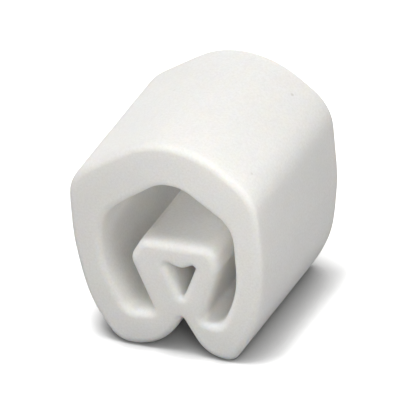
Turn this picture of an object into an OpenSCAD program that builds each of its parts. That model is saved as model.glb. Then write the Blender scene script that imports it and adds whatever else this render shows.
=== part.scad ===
// Cable marker: a short sleeve of soft white plastic that slides over a single conductor.
// One continuous section runs along the cable. A domed crown carries the marking, the sides taper into
// two lobes, and between them the wall folds up inside as a hollow spring tongue that presses the
// conductor against the roof of the passage. X runs across, Y along the cable, Z up from the lobes.
// All lengths are in millimetres and all angles in degrees.

/* [Sleeve] */
// Width across the sides
body_w = 4.4; // [3.8:0.1:5.6]
// Height from the lobes to the ridge of the crown
body_h = 5.2; // [4.8:0.05:6.4]
// Length along the cable
body_l = 4; // [1:0.5:12]
// Thickness of the left side wall
wall_t_left = 0.7; // [0.45:0.05:0.8]
// Thickness of the right side wall
wall_t_right = 0.65; // [0.45:0.05:0.8]
// Thickness of the wall between the crown's ridge and the passage
roof_t = 1.05; // [0.75:0.05:1.4]
// Thickness of the wall under the two pockets
floor_t = 0.8; // [0.6:0.02:0.9]
// Rounding of all edges at the two ends
edge_r = 0.15; // [0.05:0.01:0.18]

/* [Crown] */
// Radius of the crown's ridge
crown_r = 2; // [1:0.1:2.4]
// Sideways offset of the ridge from the middle
ridge_shift = 0.25; // [-0.3:0.05:0.3]
// Slope of the crown's left flank
crown_slope_left = 33; // [26:1:38]
// Slope of the crown's right flank
crown_slope_right = 38; // [28:1:42]
// Radius of the two shoulders
shoulder_r = 1.05; // [0.3:0.05:1.3]

/* [Lobes] */
// Height below which the sides taper in
taper_h = 2.4; // [1.8:0.1:3]
// Radius of the bend where the taper starts
taper_r = 4; // [1:0.5:6]
// Height of the bend above each lobe
hip_h = 0.9; // [0.7:0.05:1.2]
// Distance of that bend in from the side
hip_in = 0.25; // [0.1:0.05:0.4]
// Radius of that bend
hip_r = 2.7; // [0.5:0.1:4]
// Distance of each lobe's outer foot in from the side
foot_in = 0.86; // [0.7:0.02:1]
// Radius of each lobe's outer foot
foot_r = 0.57; // [0.3:0.01:0.8]
// Radius of each lobe's inner side, towards the notch
lobe_r = 1.3; // [0.4:0.1:1.6]

/* [Notch] */
// Width of the notch between the lobes, where its sides meet the floor
notch_w = 0.98; // [0.7:0.02:1.2]
// Sideways offset of the notch from the crown's ridge
notch_shift = -0.04; // [-0.12:0.01:0.12]
// Height at which the sides of the notch meet
notch_h = 0.9; // [0.7:0.02:0.96]
// Radius at the top of the notch
notch_r = 0.03; // [0.03:0.01:0.1]

/* [Passage] */
// Sideways offset of the passage's ridge from the crown's ridge
passage_shift = -0.06; // [-0.2:0.01:0.2]
// Radius of the passage's ridge
roof_r = 0.8; // [0.5:0.1:1.3]
// Slope of the passage's roof on both sides
roof_slope = 35; // [24:1:38]
// Radius of the passage's left shoulder
passage_r_left = 1.1; // [0.3:0.1:1.3]
// Radius of the passage's right shoulder
passage_r_right = 0.7; // [0.3:0.1:1.3]
// Height below which the passage tapers into the pockets
pocket_h = 1.75; // [1.5:0.05:2.1]
// Radius of the bend where that taper starts
pocket_bend_r = 2.4; // [0.4:0.1:3]
// Distance of each pocket's outer corner in from the side of the passage
pocket_in = 0.46; // [0.3:0.02:0.6]
// Height by which the floor of the pockets rises towards the tongue
pocket_rise = 0.12; // [0:0.02:0.2]
// Radius of the outer corners of the pockets
pocket_r = 0.3; // [0.1:0.02:0.4]

/* [Tongue] */
// Sideways offset of the tongue's two legs from the crown's ridge
tongue_shift = -0.12; // [-0.2:0.01:0.2]
// Width of the tongue at the floor of the pockets
tongue_foot_w = 1.09; // [0.85:0.01:1.2]
// Radius of the corners between the tongue and the floor of the pockets
tongue_foot_r = 0.1; // [0.06:0.02:0.4]
// Width of the tongue at its widest
tongue_w = 2.04; // [1.7:0.02:2.1]
// Height of the widest place
tongue_wide_h = 2.2; // [2:0.05:2.4]
// Width of the flat top that the conductor lies on
tongue_top_w = 1.7; // [1.2:0.05:1.8]
// Height of that flat top at its middle
tongue_h = 2.72; // [2.6:0.02:3]
// Height by which the right side of that top lies above its left side, also inside the hollow
tongue_skew = 0.07; // [-0.1:0.01:0.1]
// Radius of the tongue's corners
tongue_r = 0.3; // [0.2:0.02:0.36]

/* [Hollow of the tongue] */
// Width of the hollow at its top
hollow_w = 0.74; // [0.5:0.02:0.86]
// Distance by which the hollow's top leans to the right over its bottom
hollow_lean = 0.04; // [-0.1:0.01:0.1]
// Mean height of the hollow's top corners
hollow_top_h = 2.25; // [2.05:0.01:2.3]
// Height at which the hollow's sides meet below
hollow_bottom_h = 1.34; // [1.26:0.02:1.5]
// Sag of the tongue's top into the hollow
hollow_sag = 0.16; // [0:0.01:0.25]
// Radius of that sag
hollow_sag_r = 0.3; // [0.2:0.05:1]
// Radius of the hollow's corners
hollow_r = 0.05; // [0.03:0.01:0.1]

/* [Hidden] */

// Largest turn between two points of an arc
arc_step = 9;
// Longest distance between two points of an outline
point_gap = 0.3;
// Steps across the rounding of an end edge
edge_steps = 4;
// Share of a straight edge that the arcs at its two ends may take up
edge_fill = 0.97;
// Smallest share of a corner's radius that the rounding of the ends leaves
edge_keep = 0.2;
sleeve_white = [0.93, 0.92, 0.9];

half_w = body_w / 2;
passage_x = ridge_shift + passage_shift;
notch_x = ridge_shift + notch_shift;
tongue_x = ridge_shift + tongue_shift;
hollow_x = ridge_shift + hollow_lean;
passage_top = body_h - roof_t;

// Height of a flank that touches a ridge arc with its top at top_h, a given distance out from its middle
function flank_h(top_h, r, slope, dist) = top_h - r + r / cos(slope) - dist * tan(slope);

// Corner at which the two flanks of a ridge meet, as [x, z, radius]
function ridge_corner(x, top_h, r, slope_left, slope_right) =
    let (dx = (r / cos(slope_right) - r / cos(slope_left)) / (tan(slope_left) + tan(slope_right)))
    [x + dx, flank_h(top_h, r, slope_left, -dx), r];

// Signed turn of an outline at corner i
function turn_at(c, i) =
    let (n = len(c), u = place(c, i) - place(c, i + n - 1), v = place(c, i + 1) - place(c, i))
    atan2(cross(u, v), u * v);

function place(c, i) = let (p = c[i % len(c)]) [p[0], p[1]];

// Length that the arc at corner i takes off each of its two edges
function cut_at(c, i) = c[i % len(c)][2] * tan(abs(turn_at(c, i % len(c))) / 2);

// Factor by which the arcs at both ends of edge i shrink where the edge is too short for them
function edge_fit(c, i) =
    let (cuts = cut_at(c, i) + cut_at(c, i + 1), free = edge_fill * norm(place(c, i + 1) - place(c, i)))
    cuts > free ? free / cuts : 1;

// Radius of corner i, as far as its two edges have room for it
function fitted_r(c, i) = c[i][2] * min(edge_fit(c, i + len(c) - 1), edge_fit(c, i));

// Arc that rounds corner i, with a middle point on the corner's bisector
function corner_arc(c, i) =
    let (
        n = len(c),
        turn = turn_at(c, i),
        r = fitted_r(c, i),
        u = place(c, i) - place(c, i + n - 1),
        along = u / norm(u),
        start = place(c, i) - along * r * tan(abs(turn) / 2),
        centre = start + sign(turn) * r * [-along.y, along.x],
        steps = 2 * ceil(abs(turn) / (2 * arc_step))
    )
    r * turn == 0
        ? [place(c, i)]
        : [for (k = [0:steps]) centre + rotated(start - centre, turn * k / steps)];

function rotated(v, a) = [v.x * cos(a) - v.y * sin(a), v.x * sin(a) + v.y * cos(a)];

function middle(list) = list[floor(len(list) / 2)];

// Whole outline, clockwise, with points along its straight stretches as well
function outline(c) =
    let (arcs = [for (i = [0:len(c) - 1]) each corner_arc(c, i)], n = len(arcs))
    [for (i = [0:n - 1])
        let (run = arcs[(i + 1) % n] - arcs[i], parts = ceil(norm(run) / point_gap))
        for (k = [0:parts - 1]) arcs[i] + run * k / parts];

// Place in that outline of the middle of corner i
function corner_index(c, i) =
    let (loop = outline(c), m = middle(corner_arc(c, i)))
    [for (k = [0:len(loop) - 1]) if (norm(loop[k] - m) == 0) k][0];

// Outline that starts in the middle of its first corner
function from_first_corner(c) =
    let (loop = outline(c), n = len(loop), first = corner_index(c, 0))
    [for (k = [0:n - 1]) loop[(first + k) % n]];

// Outline moved to its right-hand side by d, which is inwards for a clockwise one
function moved_in(loop, d) =
    let (n = len(loop))
    [for (i = [0:n - 1])
        let (a = right_of(loop[i] - loop[(i + n - 1) % n]), b = right_of(loop[(i + 1) % n] - loop[i]))
        loop[i] + d * (a + b) / (1 + a * b)];

function right_of(v) = [v.y, -v.x] / norm(v);

function reversed(list) = [for (i = [len(list) - 1:-1:0]) list[i]];

// Corners of one side of the outer outline, from the shoulder to the notch; s is 1 right, -1 left
function outer_side(s) =
    let (slope = s > 0 ? crown_slope_right : crown_slope_left)
    [
        [s * half_w, flank_h(body_h, crown_r, slope, half_w - s * ridge_shift), shoulder_r],
        [s * half_w, taper_h, taper_r],
        [s * (half_w - hip_in), hip_h, hip_r],
        [s * (half_w - foot_in), 0, foot_r],
        [notch_x + s * notch_w / 2, 0, lobe_r],
    ];

// Corners of one side of the passage, from its shoulder round the pocket to the top of the tongue
function passage_side(s) =
    let (
        half_passage = half_w - (s > 0 ? wall_t_right : wall_t_left),
        shoulder_h = flank_h(passage_top, roof_r, roof_slope, half_passage - s * passage_x)
    )
    [
        [s * half_passage, shoulder_h, s > 0 ? passage_r_right : passage_r_left],
        [s * half_passage, pocket_h, pocket_bend_r],
        [s * (half_passage - pocket_in), floor_t, pocket_r],
        [tongue_x + s * tongue_foot_w / 2, floor_t + pocket_rise, tongue_foot_r],
        [tongue_x + s * tongue_w / 2, tongue_wide_h, tongue_r],
        [ridge_shift + s * tongue_top_w / 2, tongue_h + s * tongue_skew / 2, tongue_r],
    ];

outer_corners = concat(
    [ridge_corner(ridge_shift, body_h, crown_r, crown_slope_left, crown_slope_right)],
    outer_side(1),
    [[notch_x, notch_h, notch_r]],
    reversed(outer_side(-1))
);

passage_corners = concat(
    [ridge_corner(passage_x, passage_top, roof_r, roof_slope, roof_slope)],
    passage_side(1),
    [[ridge_shift, tongue_h, 0]],
    reversed(passage_side(-1))
);

hollow_corners = [
    [hollow_x, hollow_top_h - hollow_sag, hollow_sag_r],
    [hollow_x + hollow_w / 2, hollow_top_h + tongue_skew / 2, hollow_r],
    [ridge_shift, hollow_bottom_h, hollow_r],
    [hollow_x - hollow_w / 2, hollow_top_h - tongue_skew / 2, hollow_r],
];

// The three outlines and the side of each on which its wall lies
corner_sets = [outer_corners, passage_corners, hollow_corners];
loops = [for (c = corner_sets) from_first_corner(c)];
wall_side = [1, -1, -1];
sizes = [for (loop = loops) len(loop)];
first_index = [0, sizes[0], sizes[0] + sizes[1]];
section = [for (loop = loops) each loop];

// The rounding of the ends has to fit inside the tightest outward corner of the section
outward_radii = [
    for (l = [0:2], i = [0:len(corner_sets[l]) - 1])
        if (wall_side[l] * turn_at(corner_sets[l], i) < 0) fitted_r(corner_sets[l], i)
];
end_r = min(edge_r, (1 - edge_keep) * min(outward_radii));

// Outlines of the flat end faces, inside their rounded edges
end_section = [for (l = [0:2]) each moved_in(loops[l], wall_side[l] * end_r)];

// Places in their outlines of the notch's top, the tongue's top and the hollow's bottom
middle_places = [for (c = corner_sets) corner_index(c, len(c) / 2) - corner_index(c, 0)];
notch_top = middle_places[0];
tongue_top = middle_places[1];
hollow_bottom = middle_places[2];

// Stations along the cable as [place, inset of the outlines]: one rounded end, then the other
end_round = [
    for (k = [0:edge_steps])
        let (a = 90 * k / edge_steps)
        [end_r * (1 - sin(a)), end_r * (1 - cos(a))]
];
stations = concat(
    [for (e = reversed(end_round)) [e[0] - body_l / 2, e[1]]],
    [for (e = end_round) [body_l / 2 - e[0], e[1]]]
);
last_ring = len(stations) - 1;

// Index of a point of an outline among the points of one ring
function at(l, i) = first_index[l] + i % sizes[l];

// Indices along an outline from place a to place b, in either direction
function stretch(l, a, b) = [for (i = [a:(a < b ? 1 : -1):b]) at(l, i)];

// Triangles of an end face between two chains of indices that run side by side; side is 1 right, -1 left
function strip(p, q, side) =
    [for (i = 0, j = 0, on_p = steps_on_p(p, q, 0, 0, side);
          i < len(p) - 1 || j < len(q) - 1;
          i = on_p ? i + 1 : i, j = on_p ? j : j + 1, on_p = steps_on_p(p, q, i, j, side))
        on_p ? [p[i], p[i + 1], q[j]] : [p[i], q[j + 1], q[j]]];

// Whether a strip's next triangle takes a step along its first chain: the one that fits, or the shorter
function steps_on_p(p, q, i, j, side) =
    let (
        on_p = i < len(p) - 1 && side * turn_of(p[i], p[i + 1], q[j]) < 0 && sees(p[i + 1], q[j], p, q),
        on_q = j < len(q) - 1 && side * turn_of(p[i], q[j + 1], q[j]) < 0 && sees(p[i], q[j + 1], p, q)
    )
    on_p && on_q ? reach(p[i + 1], q[j]) < reach(p[i], q[j + 1]) : on_p || j == len(q) - 1;

// Whether the line between two points of an end face crosses neither chain
function sees(a, b, p, q) =
    [for (chain = [p, q], k = [1:len(chain) - 1]) if (crosses(a, b, chain[k - 1], chain[k])) k] == [];

function crosses(a, b, c, d) =
    turn_of(a, b, c) * turn_of(a, b, d) < 0 && turn_of(c, d, a) * turn_of(c, d, b) < 0;

function turn_of(a, b, c) = cross(end_section[b] - end_section[a], end_section[c] - end_section[a]);

function reach(a, b) = norm(end_section[a] - end_section[b]);

// The end face: on each side the wall from the ridge to the notch and round the hollow, along the passage
right_faces = strip(
    concat(stretch(0, 0, notch_top), stretch(2, hollow_bottom, 0)),
    stretch(1, 0, tongue_top),
    1
);
left_faces = strip(
    concat(stretch(0, sizes[0], notch_top), stretch(2, hollow_bottom, sizes[2])),
    stretch(1, sizes[1], tongue_top),
    -1
);
end_faces = concat(right_faces, [for (f = left_faces) reversed(f)]);

// Faces between one ring and the next, round an outline
function wall_faces(l) =
    [for (i = [0:sizes[l] - 1])
        let (face = [at(l, i), at(l, i) + len(section), at(l, i + 1) + len(section), at(l, i + 1)])
        wall_side[l] > 0 ? face : reversed(face)];

// Faces moved on to another ring
function on_ring(faces, ring) = [for (f = faces) [for (i = f) i + ring * len(section)]];

module marker_sleeve() {
    points = [for (s = stations, l = [0:2], p = moved_in(loops[l], wall_side[l] * s[1])) [p.x, s[0], p.y]];
    faces = concat(
        end_faces,
        [for (f = on_ring(end_faces, last_ring)) reversed(f)],
        [for (ring = [0:last_ring - 1], l = [0:2]) each on_ring(wall_faces(l), ring)]
    );
    color(sleeve_white) polyhedron(points, faces, convexity = 8);
}

marker_sleeve();
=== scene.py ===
"""Cable marker: a slide-on sleeve of soft white PVC, standing on its two lobes on a plain white floor."""

import logging
import math
from dataclasses import dataclass
from enum import Enum
from typing import Any

import bpy
from mathutils import Euler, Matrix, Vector


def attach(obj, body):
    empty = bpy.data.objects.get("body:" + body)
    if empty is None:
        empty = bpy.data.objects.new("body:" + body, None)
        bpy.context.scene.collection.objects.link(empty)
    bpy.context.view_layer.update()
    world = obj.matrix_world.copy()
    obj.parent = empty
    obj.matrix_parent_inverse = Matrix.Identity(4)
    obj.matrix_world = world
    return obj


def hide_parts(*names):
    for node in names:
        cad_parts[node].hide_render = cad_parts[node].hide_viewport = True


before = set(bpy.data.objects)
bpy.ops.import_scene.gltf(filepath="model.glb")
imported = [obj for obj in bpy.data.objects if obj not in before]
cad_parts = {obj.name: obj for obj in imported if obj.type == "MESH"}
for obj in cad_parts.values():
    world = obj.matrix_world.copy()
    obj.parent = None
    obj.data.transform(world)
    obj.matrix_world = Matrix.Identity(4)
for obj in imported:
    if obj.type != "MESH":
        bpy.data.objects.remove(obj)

log = logging.getLogger("cable_marker")

MM = 0.001
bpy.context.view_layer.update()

Tree = bpy.types.NodeTree
Socket = bpy.types.NodeSocket

# The Mix node's sockets share their names, so they go by number: for colours, and for plain values.
COLOUR_A, COLOUR_B, COLOUR_OUT = 6, 7, 2
PLAIN_A, PLAIN_B, PLAIN_OUT = 2, 3, 0


class Axis(Enum):
    """Directions of the sleeve in the shared frame."""

    ACROSS = 0
    ALONG = 1
    UP = 2


def linear(hex_colour: str) -> tuple[float, float, float, float]:
    """Turns an sRGB hex colour into linear light.

    Args:
        hex_colour: Colour as "#RRGGBB".

    Returns:
        Red, green, blue and a full alpha.
    """
    shares = [int(hex_colour[i:i + 2], 16) / 255 for i in (1, 3, 5)]
    red, green, blue = (s / 12.92 if s <= 0.04045 else ((s + 0.055) / 1.055) ** 2.4 for s in shares)
    return red, green, blue, 1.0


def add_node(
    tree: Tree,
    kind: str,
    inputs: dict[str | int, Any] | None = None,
    **settings: Any,
) -> bpy.types.Node:
    """Adds one node with its settings and links.

    Args:
        tree: Node tree that takes the node.
        kind: Blender's name for the kind of node.
        inputs: Value of each input socket, or the output socket that feeds it.
        settings: The node's own properties.

    Returns:
        The new node.
    """
    node = tree.nodes.new(kind)
    for name, value in settings.items():
        setattr(node, name, value)
    for socket, value in (inputs or {}).items():
        if isinstance(value, Socket):
            tree.links.new(value, node.inputs[socket])
        else:
            node.inputs[socket].default_value = value
    return node


def calculate(tree: Tree, operation: str, *values: float | Socket) -> Socket:
    """Adds a Math node.

    Args:
        tree: Node tree that takes the node.
        operation: Blender's name for the operation.
        values: One value, or two.

    Returns:
        The result's socket.
    """
    node = add_node(tree, "ShaderNodeMath", dict(enumerate(values)), operation=operation)
    return node.outputs["Value"]


def remap(
    tree: Tree,
    value: Socket,
    source: tuple[float, float] = (0.0, 1.0),
    target: tuple[float, float] = (0.0, 1.0),
) -> Socket:
    """Maps a value from one range onto another and holds it within that.

    Args:
        tree: Node tree that takes the node.
        value: The value's socket.
        source: Range that it comes from.
        target: Range that it goes to.

    Returns:
        The result's socket.
    """
    node = add_node(tree, "ShaderNodeMapRange", {
        "Value": value,
        "From Min": source[0],
        "From Max": source[1],
        "To Min": target[0],
        "To Max": target[1],
    })
    return node.outputs["Result"]


def blend(tree: Tree, share: Socket, first: Any, second: Any) -> Socket:
    """Mixes two colours.

    Args:
        tree: Node tree that takes the node.
        share: Share of the second colour.
        first: Colour, or its socket.
        second: Colour, or its socket.

    Returns:
        The mixed colour's socket.
    """
    node = add_node(tree, "ShaderNodeMix", {0: share, COLOUR_A: first, COLOUR_B: second}, data_type="RGBA")
    return node.outputs[COLOUR_OUT]


def seen_by_eye(tree: Tree) -> Socket:
    """Tells the rays that see a surface straight or in a gloss from those that only light the object.

    Args:
        tree: Node tree of the material or world.

    Returns:
        A socket with 1 for camera, glossy and transmission rays and 0 for the rest.
    """
    rays = add_node(tree, "ShaderNodeLightPath").outputs
    straight = calculate(tree, "MAXIMUM", rays["Is Camera Ray"], rays["Is Glossy Ray"])
    return calculate(tree, "MAXIMUM", straight, rays["Is Transmission Ray"])


def new_material(name: str) -> bpy.types.Material:
    """Makes an empty node material.

    Args:
        name: Name of the material.

    Returns:
        The material, with no nodes yet.
    """
    material = bpy.data.materials.new(name)
    material.use_nodes = True
    material.node_tree.nodes.clear()
    return material


@dataclass(frozen=True)
class Noise:
    """A noise pattern, by the real size of its patches."""

    size: float
    detail: float
    roughness: float = 0.5

    def build(self, tree: Tree, place: Socket) -> Socket:
        """Adds the pattern.

        Args:
            tree: The material's node tree.
            place: Object coordinates.

        Returns:
            The pattern's socket, from 0 to 1.
        """
        node = add_node(tree, "ShaderNodeTexNoise", {
            "Vector": place,
            "Scale": 1 / self.size,
            "Detail": self.detail,
            "Roughness": self.roughness,
        })
        return node.outputs["Fac"]


@dataclass(frozen=True)
class Streaks:
    """Noise that is drawn out into lines along one axis, by the real width and length of a line."""

    width: float
    length: float
    run: Axis
    detail: float = 2.0

    def build(self, tree: Tree, place: Socket) -> Socket:
        """Adds the lines.

        Args:
            tree: The material's node tree.
            place: Object coordinates.

        Returns:
            The height's socket, from 0 to 1.
        """
        scale = [1 / (self.length if axis is self.run else self.width) for axis in Axis]
        drawn_out = add_node(tree, "ShaderNodeMapping", {"Vector": place, "Scale": scale})
        # The mapping has set the sizes, so the noise itself has a size of 1.
        return Noise(size=1.0, detail=self.detail).build(tree, drawn_out.outputs["Vector"])


@dataclass(frozen=True)
class SoftPvc:
    """Plasticised PVC, extruded and then cut to length.

    The eye sees a slightly warm white that lets light in a fraction of a millimetre, so edges glow and shade
    runs softly. The skin is satin, with a fine fleck of filler, faint lines along the draw, drag marks of the
    blade on the cut ends and a few specks of dust on the crown.
    """

    name: str = "plasticised_pvc_white"
    white: str = "#F3F2F0"
    warm_white: str = "#F1F0EC"
    fleck: str = "#E2E0DB"
    dust: str = "#DAD8D1"
    ior: float = 1.53
    specular: float = 0.3
    roughness: float = 0.68
    roughness_spread: float = 0.06
    # Red light goes furthest under the skin, which warms thin edges.
    scatter: float = 0.22 * MM
    scatter_shares: tuple[float, float, float] = (1.0, 0.85, 0.65)
    mottle: Noise = Noise(0.9 * MM, detail=4.0, roughness=0.6)
    mottle_range: tuple[float, float] = (0.35, 0.65)
    gloss_drift: Noise = Noise(0.45 * MM, detail=3.0)
    # The real filler and grain are finer than this. They are drawn as coarse as they need to show.
    filler: Noise = Noise(0.05 * MM, detail=2.0, roughness=0.7)
    filler_range: tuple[float, float] = (0.35, 0.7)
    fleck_share: float = 0.5
    grain: Noise = Noise(0.09 * MM, detail=3.0)
    grain_depth: float = 0.0020 * MM
    draw_lines: Streaks = Streaks(0.11 * MM, 5.0 * MM, Axis.ALONG)
    blade_marks: Streaks = Streaks(0.16 * MM, 2.4 * MM, Axis.ACROSS)
    line_depth: float = 0.0035 * MM
    # Distance from the middle, along the cable, over which the drawn skin gives way to the cut end.
    cut_range: tuple[float, float] = (1.84 * MM, 1.94 * MM)
    # Dust lies in some cells of a pattern. The range runs from a speck's edge to its core, in cells.
    speck_spacing: float = 0.45 * MM
    speck_range: tuple[float, float] = (0.12, 0.048)
    speck_share: float = 0.25
    speck_above: float = 4.0 * MM

    def build(self) -> bpy.types.Material:
        """Makes the material.

        Returns:
            The material with its node tree.
        """
        material = new_material(self.name)
        tree = material.node_tree
        place = add_node(tree, "ShaderNodeTexCoord").outputs["Object"]
        bsdf = add_node(tree, "ShaderNodeBsdfPrincipled", {
            "Base Color": self._colour(tree, place),
            "Roughness": self._gloss(tree, place),
            "IOR": self.ior,
            "Specular IOR Level": self.specular,
            "Subsurface Weight": 1.0,
            "Subsurface Radius": self.scatter_shares,
            "Subsurface Scale": self.scatter,
            "Normal": self._relief(tree, place),
        })
        add_node(tree, "ShaderNodeOutputMaterial", {"Surface": bsdf.outputs["BSDF"]})
        return material

    def _colour(self, tree: Tree, place: Socket) -> Socket:
        """White with a warm drift, a fleck of filler and specks of dust.

        Args:
            tree: The material's node tree.
            place: Object coordinates.

        Returns:
            The colour's socket.
        """
        drift = remap(tree, self.mottle.build(tree, place), self.mottle_range)
        body = blend(tree, drift, linear(self.white), linear(self.warm_white))
        flecks = remap(tree, self.filler.build(tree, place), self.filler_range, (0.0, self.fleck_share))
        body = blend(tree, flecks, body, linear(self.fleck))
        return blend(tree, self._specks(tree, place), body, linear(self.dust))

    def _specks(self, tree: Tree, place: Socket) -> Socket:
        """Specks in some of the cells, on the crown and clear of the cut ends.

        Args:
            tree: The material's node tree.
            place: Object coordinates.

        Returns:
            The socket of the dust's share.
        """
        cells = add_node(tree, "ShaderNodeTexVoronoi", {
            "Vector": place, "Scale": 1 / self.speck_spacing,
        }).outputs
        height = add_node(tree, "ShaderNodeSeparateXYZ", {"Vector": place}).outputs["Z"]
        limits = (
            calculate(tree, "GREATER_THAN", cells["Color"], 1 - self.speck_share),
            calculate(tree, "GREATER_THAN", height, self.speck_above),
            calculate(tree, "LESS_THAN", self._from_middle(tree, place), self.cut_range[0]),
        )
        speck = remap(tree, cells["Distance"], self.speck_range)
        for limit in limits:
            speck = calculate(tree, "MULTIPLY", speck, limit)
        return speck

    def _gloss(self, tree: Tree, place: Socket) -> Socket:
        """Satin that varies a little from place to place.

        Args:
            tree: The material's node tree.
            place: Object coordinates.

        Returns:
            The roughness's socket.
        """
        spread = (self.roughness - self.roughness_spread, self.roughness + self.roughness_spread)
        return remap(tree, self.gloss_drift.build(tree, place), target=spread)

    def _relief(self, tree: Tree, place: Socket) -> Socket:
        """Lines of the draw on the walls, drag marks of the blade on the cut ends, and a fine grain on both.

        Args:
            tree: The material's node tree.
            place: Object coordinates.

        Returns:
            The normal's socket.
        """
        lines = add_node(tree, "ShaderNodeMix", {
            0: remap(tree, self._from_middle(tree, place), self.cut_range),
            PLAIN_A: self.draw_lines.build(tree, place),
            PLAIN_B: self.blade_marks.build(tree, place),
        })
        streaked = add_node(tree, "ShaderNodeBump", {
            "Height": lines.outputs[PLAIN_OUT], "Distance": self.line_depth, "Strength": 1.0,
        })
        return add_node(tree, "ShaderNodeBump", {
            "Height": self.grain.build(tree, place),
            "Distance": self.grain_depth,
            "Strength": 1.0,
            "Normal": streaked.outputs["Normal"],
        }).outputs["Normal"]

    @staticmethod
    def _from_middle(tree: Tree, place: Socket) -> Socket:
        """Gives the distance from the middle of the sleeve along the cable."""
        parts = add_node(tree, "ShaderNodeSeparateXYZ", {"Vector": place})
        return calculate(tree, "ABSOLUTE", parts.outputs["Y"])


@dataclass(frozen=True)
class WhiteCard:
    """Matt white card under the sleeve: plain white to the eye, with the sleeve's shadow kept.

    White plastic close above the card would fill the shadow with its own bounce, so the card's colour is
    darkened
    in narrow corners by an occlusion term: painted shade that deepens the shadow towards the line where the
    sleeve stands.
    """

    name: str = "matt_white_card"
    card: str = "#959595"
    # Over 1, so that the open card stays plain white as far as the soft edge of the shadow.
    seen_white: float = 1.85
    # Reach, least share, fall and samples of the painted shade that darkens the card in narrow corners.
    painted_shade_reach: float = 1.05 * MM
    painted_shade_least: float = 0.21
    painted_shade_fall: float = 2.0
    painted_shade_samples: int = 16
    roughness: float = 0.9

    def build(self) -> bpy.types.Material:
        """Makes the material.

        Returns:
            The material with its node tree.
        """
        material = new_material(self.name)
        tree = material.node_tree
        tone = add_node(tree, "ShaderNodeMix", {
            0: seen_by_eye(tree), PLAIN_A: linear(self.card)[0], PLAIN_B: self.seen_white,
        })
        # Painted shade: the card's colour is multiplied down near the sleeve by ambient occlusion.
        corner = add_node(tree, "ShaderNodeAmbientOcclusion", {
            "Distance": self.painted_shade_reach,
        }, samples=self.painted_shade_samples)
        opening = calculate(tree, "POWER", corner.outputs["AO"], self.painted_shade_fall)
        shade = remap(tree, opening, target=(self.painted_shade_least, 1.0))
        card = add_node(tree, "ShaderNodeBsdfDiffuse", {
            "Color": calculate(tree, "MULTIPLY", tone.outputs[PLAIN_OUT], shade),
            "Roughness": self.roughness,
        })
        add_node(tree, "ShaderNodeOutputMaterial", {"Surface": card.outputs["BSDF"]})
        return material


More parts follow.
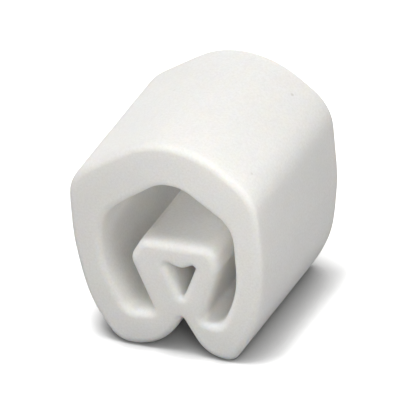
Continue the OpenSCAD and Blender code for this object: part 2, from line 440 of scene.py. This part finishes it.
@dataclass
class MarkerSleeve:
    """The whole marker: one extruded and cut piece with crown, walls, lobes, notch and spring tongue."""

    node: str = "marker_sleeve"
    name: str = "sleeve"
    slot: str = "soft_pvc"
    merge: float = 0.001 * MM
    lip: float = 0.02 * MM
    flat_within: float = math.radians(1)
    any_shape: float = math.pi
    end_facing: float = 0.999
    long_edge: float = 1.0 * MM
    rings: int = 13
    finer: int = 1
    wave_size: float = 1.6 * MM
    wave_depth: float = 0.012 * MM
    wave_middle: float = 0.5
    smooth_below: float = math.radians(40)

    def build(self) -> bpy.types.Object:
        """Makes the soft skin from a merged copy of the CAD sleeve.

        Returns:
            The finished piece, at the origin.
        """
        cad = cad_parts[self.node]
        piece = bpy.data.objects.new(self.name, cad.data.copy())
        bpy.context.scene.collection.objects.link(piece)
        bpy.ops.object.select_all(action="DESELECT")
        piece.select_set(True)
        bpy.context.view_layer.objects.active = piece
        self._merge_triangles()
        self._lip_on_ends(piece)
        self._rings_along(piece)
        self._soften(piece)
        return piece

    def dress(self, piece: bpy.types.Object, finish: SoftPvc) -> None:
        """Gives the piece its finish and ties it to the CAD part.

        Args:
            piece: The finished piece.
            finish: Its finish.
        """
        piece.data.materials.clear()
        piece.data.materials.append(finish.build())
        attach(piece, "root")
        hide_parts(self.node)

    def _merge_triangles(self) -> None:
        """Joins the loose triangles and pairs them up into four-sided faces."""
        bpy.ops.object.mode_set(mode="EDIT")
        bpy.ops.mesh.select_mode(type="FACE")
        bpy.ops.mesh.select_all(action="SELECT")
        bpy.ops.mesh.remove_doubles(threshold=self.merge)
        bpy.ops.mesh.customdata_custom_splitnormals_clear()
        bpy.ops.mesh.tris_convert_to_quads(face_threshold=self.flat_within, shape_threshold=self.any_shape)
        bpy.ops.mesh.select_all(action="DESELECT")
        bpy.ops.object.mode_set(mode="OBJECT")

    def _lip_on_ends(self, piece: bpy.types.Object) -> None:
        """Insets the flat cut ends by a narrow lip and creases what lies inside it, so that they stay flat.

        Args:
            piece: The piece in work.
        """
        for face in piece.data.polygons:
            face.select = abs(face.normal[Axis.ALONG.value]) > self.end_facing
        bpy.ops.object.mode_set(mode="EDIT")
        bpy.ops.mesh.inset(thickness=self.lip, use_even_offset=True)
        bpy.ops.transform.edge_crease(value=1.0)
        bpy.ops.mesh.select_all(action="DESELECT")
        bpy.ops.object.mode_set(mode="OBJECT")

    def _rings_along(self, piece: bpy.types.Object) -> None:
        """Cuts rings across the long faces of the walls.

        Args:
            piece: The piece in work.
        """
        bpy.ops.object.mode_set(mode="EDIT")
        bpy.ops.mesh.select_mode(type="EDGE")
        bpy.ops.mesh.select_all(action="DESELECT")
        bpy.ops.object.mode_set(mode="OBJECT")
        points = piece.data.vertices
        along = Axis.ALONG.value
        for edge in piece.data.edges:
            first, last = (points[i].co[along] for i in edge.vertices)
            edge.select = abs(last - first) > self.long_edge
        bpy.ops.object.mode_set(mode="EDIT")
        bpy.ops.mesh.subdivide(number_cuts=self.rings)
        bpy.ops.mesh.select_all(action="DESELECT")
        bpy.ops.object.mode_set(mode="OBJECT")

    def _soften(self, piece: bpy.types.Object) -> None:
        """Rounds the facets off and gives the skin the slight waviness of an extrusion.

        Args:
            piece: The piece in work.
        """
        skin = piece.modifiers.new("skin", "SUBSURF")
        skin.levels = self.finer
        skin.render_levels = self.finer
        bpy.ops.object.modifier_apply(modifier=skin.name)
        wave = bpy.data.textures.new("draw_waviness", "CLOUDS")
        wave.noise_scale = self.wave_size
        uneven = piece.modifiers.new("uneven", "DISPLACE")
        uneven.texture = wave
        uneven.texture_coords = "LOCAL"
        uneven.strength = self.wave_depth
        uneven.mid_level = self.wave_middle
        bpy.ops.object.modifier_apply(modifier=uneven.name)
        bpy.ops.object.shade_smooth_by_angle(angle=self.smooth_below)


@dataclass
class SoftBox:
    """Square studio lamp behind a diffuser, aimed at the sleeve.

    The level is the light that it gives a face turned to it, where 1 shows a colour as it is written.
    """

    name: str
    azimuth: float
    elevation: float
    level: float
    distance: float = 1.0
    side: float = 0.9

    def build(self, target: Vector) -> bpy.types.Object:
        """Makes the lamp.

        Args:
            target: Point that it is aimed at.

        Returns:
            The lamp.
        """
        turn, rise = math.radians(self.azimuth), math.radians(self.elevation)
        out = Vector((math.sin(turn) * math.cos(rise), -math.cos(turn) * math.cos(rise), math.sin(rise)))
        lamp = bpy.data.lights.new(self.name, "AREA")
        lamp.shape = "SQUARE"
        lamp.size = self.side
        lamp.energy = self.level * (math.pi * self.distance) ** 2
        holder = bpy.data.objects.new(self.name, lamp)
        holder.location = target + out * self.distance
        holder.rotation_euler = out.to_track_quat("Z", "Y").to_euler()
        holder.visible_camera = False
        bpy.context.scene.collection.objects.link(holder)
        return holder


@dataclass
class Studio:
    """Floor, room light, lamps and camera."""

    floor_side: float = 4.0
    room_level: float = 0.05
    lamps: tuple[SoftBox, ...] = (
        SoftBox("small_box_above", azimuth=-40.0, elevation=81.0, level=0.44, side=0.3),
        SoftBox("softbox_above_right", azimuth=100.0, elevation=72.0, level=0.33),
        SoftBox("low_card_behind", azimuth=-165.0, elevation=10.0, level=0.57, side=0.4),
        SoftBox("low_card_left", azimuth=-60.0, elevation=8.0, level=0.24, side=0.25),
        SoftBox("low_card_front", azimuth=15.0, elevation=8.0, level=0.09, side=0.25),
        SoftBox("low_card_front_right", azimuth=60.0, elevation=8.0, level=0.13, side=0.25),
        SoftBox("low_card_right", azimuth=105.0, elevation=8.0, level=0.14, side=0.25),
        SoftBox(
            "near_card_front", azimuth=30.0, elevation=26.0, level=0.36, distance=10.0 * MM, side=5.0 * MM,
        ),
    )
    target: tuple[float, float, float] = (1.004 * MM, -1.994 * MM, 3.915 * MM)
    azimuth: float = 27.7
    elevation: float = 32.6
    roll: float = -5.3
    distance: float = 0.4
    view_width: float = 8.505 * MM
    sensor: float = 36.0
    # Nearest and farthest that the camera sees, as shares of its distance.
    clip_shares: tuple[float, float] = (0.1, 20.0)

    def build(self) -> None:
        """Sets up everything round the sleeve."""
        self._floor()
        self._room()
        for lamp in self.lamps:
            lamp.build(Vector(self.target))
            log.info("lamp %s at level %.2f", lamp.name, lamp.level)
        self._camera()
        bpy.context.scene.view_settings.view_transform = "Standard"

    def _floor(self) -> None:
        """Lays the card that the sleeve stands on."""
        bpy.ops.object.select_all(action="DESELECT")
        bpy.ops.mesh.primitive_plane_add(size=self.floor_side)
        floor = bpy.context.object
        floor.name = "floor"
        floor.data.materials.append(WhiteCard().build())

    def _room(self) -> None:
        """Gives the room an even light, and a white that shows behind the floor's edge and in a gloss."""
        world = bpy.data.worlds.new("white_room")
        bpy.context.scene.world = world
        world.use_nodes = True
        tree = world.node_tree
        tree.nodes.clear()
        light, white = (
            add_node(tree, "ShaderNodeBackground", {"Color": (1, 1, 1, 1), "Strength": level})
            for level in (self.room_level, 1.0)
        )
        both = add_node(tree, "ShaderNodeMixShader", {
            0: seen_by_eye(tree), 1: light.outputs["Background"], 2: white.outputs["Background"],
        })
        add_node(tree, "ShaderNodeOutputWorld", {"Surface": both.outputs["Shader"]})

    def _camera(self) -> None:
        """Sets the camera far off with a long lens, for a close view with hardly any perspective."""
        turn = Euler((math.radians(90 - self.elevation), 0, math.radians(self.azimuth))).to_matrix()
        turn @= Euler((0, 0, math.radians(self.roll))).to_matrix()
        lens = bpy.data.cameras.new("long_lens")
        lens.sensor_width = self.sensor
        lens.lens = self.sensor * self.distance / self.view_width
        lens.clip_start, lens.clip_end = (share * self.distance for share in self.clip_shares)
        camera = bpy.data.objects.new("camera", lens)
        camera.location = Vector(self.target) + turn.col[2] * self.distance
        camera.rotation_euler = turn.to_euler()
        bpy.context.scene.collection.objects.link(camera)
        bpy.context.scene.camera = camera


def main() -> None:
    """Builds the sleeve, dresses it and sets up the studio round it."""
    logging.basicConfig(level=logging.INFO)
    sleeve = MarkerSleeve()
    piece = sleeve.build()
    sleeve.dress(piece, SoftPvc())
    log.info("piece %s: %d faces", piece.name, len(piece.data.polygons))
    Studio().build()


if __name__ == "__main__":
    main()
